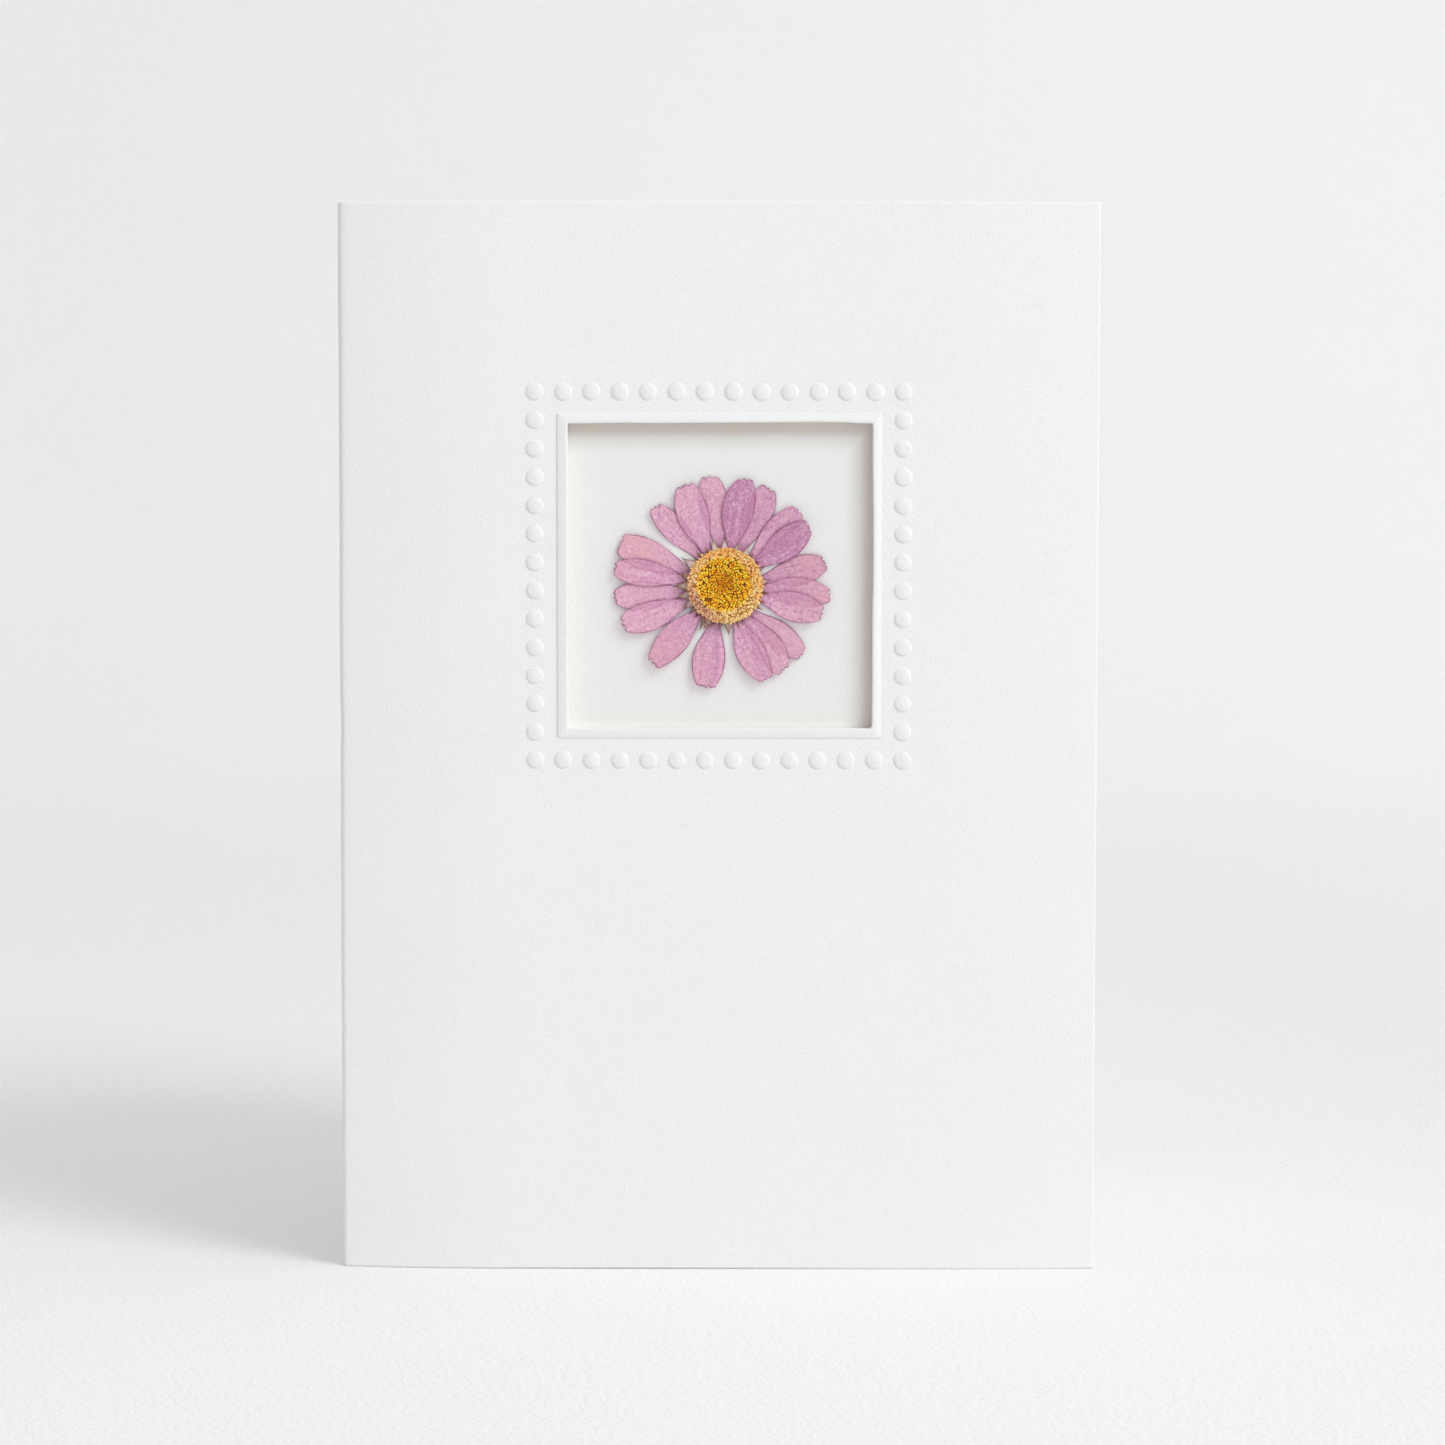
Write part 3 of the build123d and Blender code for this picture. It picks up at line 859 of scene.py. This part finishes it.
class Petal:
    """One petal, in millimetres from the flower's middle. v runs from -1 to 1 across it."""

    def __init__(self, number, row):
        root, tip, reach, self.width, self.layer, self.lift, self.peach, self.crease, *shape = row
        self.bow, self.belly, self.tip_width, self.tone = shape
        self.number = number
        self.root = Vector(polar(ROOT_RADIUS, radians(root)))
        end = Vector(polar(reach, radians(tip)))
        self.axis = (end - self.root).normalized()
        self.side = Vector((-self.axis.y, self.axis.x))
        self.length = (end - self.root).length
        picked = random.Random(100 + number)
        self.notches = [
            (picked.uniform(low, high), picked.uniform(0.15, 0.42), picked.uniform(0.12, 0.22))
            for low, high in ((-0.48, -0.22), (0.22, 0.48))
        ]
        self.spike = (picked.choice((-0.72, -0.1, 0.1, 0.72)), picked.uniform(0.10, 0.22))
        self.slant = picked.uniform(-0.22, 0.22)
        self.phase = picked.uniform(0, 100)

    def end(self, v):
        """How far the petal reaches at v, with unequal teeth between notches."""
        drop = 0.10 + 0.18 * abs(v) ** 3 + self.slant * v
        drop += 0.09 * rough(v * 4, self.phase) + 0.02 * rough(v * 13, self.phase)
        for at, depth, spread in self.notches:
            drop += depth * max(0.0, 1 - abs(v - at) / spread)
        at, depth = self.spike
        drop -= depth * max(0.0, 1 - abs(v - at) / 0.12)
        return self.length - max(drop, 0.0)

    def half(self, q):
        """Half the petal's width at a share q of its length."""
        q = min(max(q, 0.0), 1.0)
        if q < self.belly:
            opened = sin(pi / 2 * q / self.belly) ** 2.6
            share = ROOT_WIDTH + (1 - ROOT_WIDTH) * opened
        else:
            kept = 1 - ((q - self.belly) / (1 - self.belly)) ** 2.2
            share = self.tip_width + (1 - self.tip_width) * kept
        return self.width / 2 * share * (1 + 0.02 * rough(q * 4, self.phase, 1.0))

    def middle(self, q):
        """How far the petal's middle line bows sideways."""
        q = min(max(q, 0.0), 1.0)
        return self.bow * 4 * q * (1 - q)

    def inside(self, x, y):
        """How far inside the outline the point is. Negative is outside."""
        off = Vector((x, y)) - self.root
        u, s = off.dot(self.axis), off.dot(self.side)
        q = u / self.length
        if q < 0 or q > 1:
            return -1.0
        half = self.half(q)
        s -= self.middle(q)
        v = max(-1.0, min(1.0, s / max(half, 1e-6)))
        return min(half - abs(s), self.end(v) - u)

    def height(self, u, v):
        """Height over the backing at u along the petal."""
        q = u / self.length
        base = 0.06 + self.layer * LAYER_PITCH
        rise = self.lift * smooth((u - 2.5) / (self.length - 1.0)) ** 1.15
        camber = 0.05 * (v * v - 0.4) * smooth(q * 2)
        veins = 0.012 * cos(v * 17 + 1.5 * rough(q * 3, v * 2, self.phase)) * smooth((q - 0.1) * 4)
        wave = 0.055 * rough(q * 3.2, v * 1.3, self.phase + 9) * smooth((q - 0.25) * 2)
        ridge = CREASE_HEIGHT * self.crease * bell(v, CREASE_V, CREASE_REACH) * smooth((q - 0.15) * 3)
        return base + rise + camber + veins + wave + ridge

    def point(self, t, v, bottom, others):
        """A point of the petal and its values. Points crowd towards both sides."""
        v = copysign(1 - (1 - abs(v)) ** 1.25, v)
        end = self.end(v)
        u = t * end
        q = u / self.length
        half = self.half(t)
        edge = min(half - abs(v * half), end - u)
        s = v * half + self.middle(t)
        thick = PETAL_THICKNESS * (0.35 + 0.65 * smooth(edge / 0.15))
        z = self.height(u, v) + (-thick / 2 if bottom else thick / 2)
        x = self.root.x + u * self.axis.x + s * self.side.x
        y = self.root.y + u * self.axis.y + s * self.side.y
        # under and ghost carry the painted shade of petals behind, seen through this one
        under = ghost = 0.0
        for other in others:
            d = other.inside(x, y)
            under += smooth((d + 0.06) / 0.12)
            ghost = max(ghost, bell(d, 0.0, 0.09) * (d > -0.3))
        tooth = 0.35 + 0.65 * smooth((end - self.length + 0.35) / 0.3)
        tooth *= smooth(1 - (end - u) / 0.26)
        peach = self.peach * smooth((q - 0.35) * 2.2)
        return flower_point(x, y, z), {
            "along": q, "across": v * half / 2.2, "seed": self.number * 7.3, "under": under,
            "ghost": ghost, "rim": edge * MM, "tooth": tooth, "tone": self.tone, "peach": peach,
        }

    def build(self, others):
        """Make the petal's mesh. others are the petals that lie behind it."""
        skin = Skin()
        skin.leaf(*PETAL_STEPS, lambda t, v, bottom: self.point(t, v, bottom, others))
        deep = self.number in DEEP_PETALS
        made = skin.build(f"petal_skin_{self.number:02d}", PETAL_DEEP if deep else PETAL)
        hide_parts(f"petal_{self.number:02d}")


petals = [Petal(number, row) for number, row in enumerate(PETALS, start=1)]
for petal in petals:
    petal.build([p for p in petals if p.layer < petal.layer])

# Bracts: direction in degrees, reach and width in mm, and how pale the middle is
BRACTS = (
    (106, 6.7, 0.75, 1.0), (91, 6.65, 0.75, 1.0), (74, 6.2, 0.6, 0.8), (56, 6.4, 0.7, 1.0),
    (48, 5.8, 0.6, 0.2), (38, 5.8, 0.6, 0.0), (23, 6.0, 0.6, 0.4), (5, 6.3, 0.7, 0.7),
    (-9, 6.1, 0.6, 0.0), (-23, 6.0, 0.5, 0.0), (-34, 6.1, 0.5, 0.1), (-48, 5.9, 0.5, 0.2),
    (-64, 5.9, 0.5, 0.2), (-72, 6.1, 0.4, 0.1), (-85, 6.7, 0.9, 0.5), (-95, 6.1, 0.7, 0.2),
    (-106, 5.9, 0.7, 0.1), (-114, 6.6, 0.9, 0.3), (-122, 6.9, 0.7, 0.1), (-133, 6.0, 0.8, 0.0),
    (-153, 6.5, 1.1, 0.5), (-166, 7.0, 0.9, 0.4), (-180, 7.0, 1.0, 0.4), (166, 6.7, 0.9, 0.2),
    (148, 7.0, 1.0, 0.8), (131, 6.0, 0.5, 0.0), (121, 5.8, 0.5, 0.0), (140, 5.9, 0.5, 0.1),
    (-143, 6.1, 0.7, 0.1),
)
BRACT_STEPS = (12, 6)
BRACT_ROOT = 3.6
BRACT_THICKNESS = 0.05


def make_bracts():
    """Narrow pointed scales, each slightly keeled along its middle and swayed to one side."""
    skin = Skin()
    for number, (direction, reach, width, pale) in enumerate(BRACTS):
        sway = 0.35 * rough(number * 1.9, 0.4)

        def point(t, v, bottom):
            r = BRACT_ROOT + (reach + 0.15 - BRACT_ROOT) * t
            half = 0.88 * width * (1 - smooth((t - 0.30) / 0.72) * 0.95)
            turn = radians(direction) + radians(3.5) * sway * 6 * t * t
            x = r * cos(turn) - v * half * sin(turn)
            y = r * sin(turn) + v * half * cos(turn)
            keel = 0.10 * (1 - abs(v)) * (1 - 0.6 * t)
            z = 0.60 + 0.10 * t + keel + 0.03 * rough(number, t * 3) - BRACT_THICKNESS * bottom
            middle = smooth((1 - abs(v)) * 1.6) * smooth((1 - t) * 2.5)
            return flower_point(x, y, z), {"middle": middle, "pale": pale}

        skin.leaf(*BRACT_STEPS, point)
    made = skin.build("bract_skin", BRACT)
    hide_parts("bracts")


make_bracts()

# The flower's middle, in mm: its receptacle's section, and buds over it in a golden-angle spiral
RECEPTACLE = (
    (4.6, 0.60), (5.05, 0.64), (5.1, 0.74), (4.8, 0.82), (3.8, 0.86), (2.4, 0.84), (1.0, 0.80),
)
BUD_SECTION = ((0.55, -0.45), (0.86, -0.1), (1.0, 0.25), (0.93, 0.55), (0.72, 0.80), (0.40, 0.95))
BUD_SIDES = 10
BUD_SPIN = 2.399  # turn from one bud to the next, in radians
GOLDEN_ANGLE = pi * (3 - sqrt(5))
GOLD_BUDS = 390
GOLD_X, GOLD_Y = -0.15, 0.25
GOLD_REACH = 3.75
GOLD_SPREAD = 0.6  # the power that crowds the gold buds towards the middle
GOLD_TALL = 0.26
RING_BUDS = 700
RING_INNER, RING_OUTER = 3.55, 5.2


def either_way(reach):
    return random.uniform(-reach, reach)


def add_bud(skin, centre, lean, size, tall, lobes, lobing, seed, gap, dim, **values):
    """A small closed bud, lobed and domed. gap darkens its foot, brown base with painted shade; dim
    its top.
    """
    spin = seed * BUD_SPIN
    cx, cy, cz = centre
    lx, ly = lean
    rows = []
    for reach, level in BUD_SECTION:
        h = tall * level
        deep = max(max(0.0, min(1.0, 0.35 - level * 1.6)) * gap, dim)
        row = []
        for k in range(BUD_SIDES):
            a = 2 * pi * k / BUD_SIDES
            r = size * reach * (1 + lobing * cos(lobes * a + spin) * (level > 0))
            r *= 1 + 0.12 * rough(*polar(2, a), seed)
            x, y = polar(r, a + spin)
            at = flower_point(cx + x + lx * h, cy + y + ly * h, cz + h)
            row.append(skin.add(at, deep=deep, **values))
        rows.append(row)
    skin.weave(rows, around=True)
    for end, lift, deep in ((-1, 0.05, dim), (0, 0.0, gap)):
        h = tall * BUD_SECTION[end][1]
        at = flower_point(cx + lx * h, cy + ly * h, cz + h + tall * lift)
        skin.fan(rows[end], at, deep=deep, **values)


def add_receptacle(skin):
    """The low cushion that the florets stand on."""
    sides = 60
    rows = []
    for reach, level in RECEPTACLE:
        outer = smooth((reach - 3.6) / 0.8)
        row = []
        for k in range(sides):
            a = 2 * pi * k / sides
            r = reach * (1 + 0.012 * rough(*polar(3, a)))
            at = flower_point(*polar(r, a), level)
            row.append(skin.add(at, tint=0.3, peach=outer, mauve=0.0, deep=0.95 - 0.70 * outer))
        rows.append(row)
    skin.weave(rows, around=True)
    for end in (0, -1):
        at = flower_point(0, 0, RECEPTACLE[end][1])
        skin.fan(rows[end], at, tint=0.2, peach=0.0, mauve=0.0, deep=0.9)


def add_gold(skin):
    """Gold buds, smaller and closer towards the middle, with a few missing near the ring."""
    for n in range(GOLD_BUDS):
        r = GOLD_REACH * ((n + 0.5) / GOLD_BUDS) ** GOLD_SPREAD
        room = sqrt(2 * pi * GOLD_SPREAD * r * r / (n + 0.5) / 0.866)
        a = n * GOLDEN_ANGLE
        x = GOLD_X + r * cos(a) + either_way(0.20) * room
        y = GOLD_Y + r * sin(a) + either_way(0.20) * room
        if r > 2.3 and random.random() < 0.06:
            continue
        dip = bell(r, 0.0, 1.3)
        size = 0.49 * room * random.uniform(0.76, 1.18)
        lean = [part + either_way(0.15) for part in polar(0.25 * r / GOLD_REACH, a)]
        z = 0.90 - 0.14 * dip + either_way(0.05)
        tint = random.uniform(0.0, 1.1) * (1 - 0.85 * dip) + 0.08 * (1 - dip)
        # Darker bud feet: brown base with painted shade between the buds, deeper out towards the ring
        gap = mix(0.6, 1.0, smooth((r - 0.8) / 1.6))
        add_bud(skin, (x, y, z), lean, size, GOLD_TALL, 4 + n % 2, 0.05, n, gap, 0.20 * dip,
                tint=min(tint, 1.0), peach=0.0, mauve=0.0)


def side_share(angle, middle, spread, most):
    """How much a direction belongs to the side round the middle, in degrees."""
    return smooth(most - abs(angle - middle) / spread)


def add_ring(skin):
    """The fuzzy peach ring, mauve at its lower left."""
    for n in range(RING_BUDS):
        share = (n + 0.5) / RING_BUDS
        a = n * GOLDEN_ANGLE
        r = sqrt(mix(RING_INNER * RING_INNER, RING_OUTER * RING_OUTER, share))
        shift = smooth((RING_OUTER - r) / (RING_OUTER - RING_INNER))
        x = r * cos(a) + GOLD_X * shift + either_way(0.13)
        y = r * sin(a) + GOLD_Y * shift + either_way(0.13)
        angle = degrees(atan2(y, x)) % 360
        lower_left = side_share(angle, 213, 62, 1.15)
        lower_right = side_share(angle, 290, 60, 1.2)
        upper = side_share(angle, 95, 50, 1.2)
        size = random.uniform(0.10, 0.22)
        tall = random.uniform(0.16, 0.32)
        lean = [part + either_way(0.2) for part in polar(0.3 * share, a)]
        z = 0.92 - 0.16 * share ** 2 + random.uniform(-0.03, 0.07)
        cluster = rough(x * 1.6, y * 1.6, 4.0)
        tint = 0.58 + 0.7 * cluster + either_way(0.45) + 0.25 * lower_right - 0.15 * upper
        # Painted shade between the buds, deepest at the lower left, away from the lamp
        gap = 0.14 + 0.22 * lower_left - 0.08 * lower_right
        add_bud(skin, (x, y, z), lean, size, tall, 5, 0.16, n + 500, gap, 0.0,
                tint=min(max(tint, 0.0), 1.15), peach=smooth((r - 3.5) / 0.5),
                mauve=lower_left * smooth((r - 3.6) / 0.7))


def make_disc():
    skin = Skin()
    add_receptacle(skin)
    add_gold(skin)
    add_ring(skin)
    made = skin.build("disc_skin", FLORET)
    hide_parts("flower_disc")


make_disc()

# The stage, in metres
SWEEP_REACH = 2.6
SWEEP_HEIGHT = 2.6
SWEEP_FRONT = -1.6
SWEEP_DEPTH = 0.75  # where the floor starts to turn up
SWEEP_RADIUS = 0.55
SWEEP_ARC_STEPS = 32
LIGHT_TARGET = (0.0, -0.035, 0.09)
LIGHT_AZIMUTH = radians(53)
LIGHT_ELEVATION = radians(38)
LIGHT_DISTANCE = 1.6
LIGHT_SIZE = 0.8
LIGHT_POWER = 9.4
ROOM_LEVEL = 0.574
ROOM_SLOPE = (0.324, -0.059, 0.184)  # how much brighter it is to the right, the back and above
CAMERA_PLACE = (1.7 * MM, FRONT_Y - 475.2 * MM, 104.4 * MM)
CAMERA_TURN = tuple(radians(a) for a in (90 - 3.37, -0.07, 0.13))
CAMERA_LENS = 85.75
CAMERA_SENSOR = 36.0
CAMERA_CLIP = (0.02, 20.0)


def make_sweep_paper():
    """White paper with painted shade at the right. Far behind, painted light: a faint glow only the
    camera sees.
    """
    s = Shader("sweep_paper")
    x, y, _ = s.split(s.place())
    pale = s.blend(s.grain(9, 2.0), rgb(248, 248, 248), rgb(250, 250, 250))
    # Painted shade towards the right, in front
    right = s.times(s.span(x, 0.04, 0.16), s.span(y, 0.1, 0.5, 1.0, 0.0))
    s.set(Base_Color=s.blend(right, pale, rgb(244, 244, 244)), Roughness=0.9)
    s.set(Specular_IOR_Level=0.1)
    s.relief(s.grain(1100), 0.2 * MM)
    behind = s.span(y, 0.3, 0.9, 0.0, 0.058)
    sideways = s.span(x, -0.25, 0.25, 0.72, 1.15, soft=False)
    glow = s.times(s.times(behind, sideways), s.ray("Camera"))
    s.set(Emission_Color=(1.0, 1.0, 1.0, 1.0), Emission_Strength=glow)
    return s.material


def make_sweep():
    """Floor and backdrop in one curved sheet."""
    line = [(SWEEP_FRONT, 0.0), (SWEEP_FRONT / 2, 0.0), (0.0, 0.0), (SWEEP_DEPTH, 0.0)]
    for k in range(1, SWEEP_ARC_STEPS + 1):
        a = pi / 2 * k / SWEEP_ARC_STEPS
        line.append((SWEEP_DEPTH + SWEEP_RADIUS * sin(a), SWEEP_RADIUS * (1 - cos(a))))
    line.append((SWEEP_DEPTH + SWEEP_RADIUS, SWEEP_HEIGHT))
    skin = Skin()
    skin.grid([[(x * SWEEP_REACH, y, z) for y, z in line] for x in (1, 1 / 3, -1 / 3, -1)])
    mesh = bpy.data.meshes.new("sweep")
    mesh.from_pydata(skin.points, [], skin.faces)
    mesh.polygons.foreach_set("use_smooth", [True] * len(mesh.polygons))
    mesh.materials.append(make_sweep_paper())
    add_object("sweep", mesh)


def make_key_light():
    """One soft lamp, from the right, above and in front."""
    data = bpy.data.lights.new("key_light", "AREA")
    data.shape = "DISK"
    data.size = LIGHT_SIZE
    data.energy = LIGHT_POWER
    flat = LIGHT_DISTANCE * cos(LIGHT_ELEVATION)
    x, y, z = LIGHT_TARGET
    x += flat * sin(LIGHT_AZIMUTH)
    y -= flat * cos(LIGHT_AZIMUTH)
    z += LIGHT_DISTANCE * sin(LIGHT_ELEVATION)
    lamp = add_object("key_light", data)
    lamp.location = (x, y, z)
    lamp.rotation_mode = "QUATERNION"
    lamp.rotation_quaternion = (Vector(LIGHT_TARGET) - Vector((x, y, z))).to_track_quat("-Z", "Y")


def make_room():
    """A pale room that is a little brighter towards the right, the front and above."""
    world = bpy.data.worlds.new("soft_room")
    bpy.context.scene.world = world
    world.use_nodes = True
    room = Nodes(world.node_tree)
    parts = room.split(room.node("ShaderNodeTexCoord").outputs["Generated"])
    level = ROOM_LEVEL
    for part, slope in zip(parts, ROOM_SLOPE):
        level = room.maths("MULTIPLY_ADD", part, slope, level)
    background = room.tree.nodes["Background"]
    background.inputs["Color"].default_value = (1.0, 1.0, 1.0, 1.0)
    room.put(background.inputs["Strength"], level)


def make_camera():
    data = bpy.data.cameras.new("camera")
    data.lens = CAMERA_LENS
    data.sensor_width = CAMERA_SENSOR
    data.clip_start, data.clip_end = CAMERA_CLIP
    camera = add_object("camera", data)
    camera.location = CAMERA_PLACE
    camera.rotation_euler = CAMERA_TURN
    bpy.context.scene.camera = camera


make_sweep()
make_key_light()
make_room()
make_camera()
bpy.context.scene.view_settings.view_transform = "Standard"
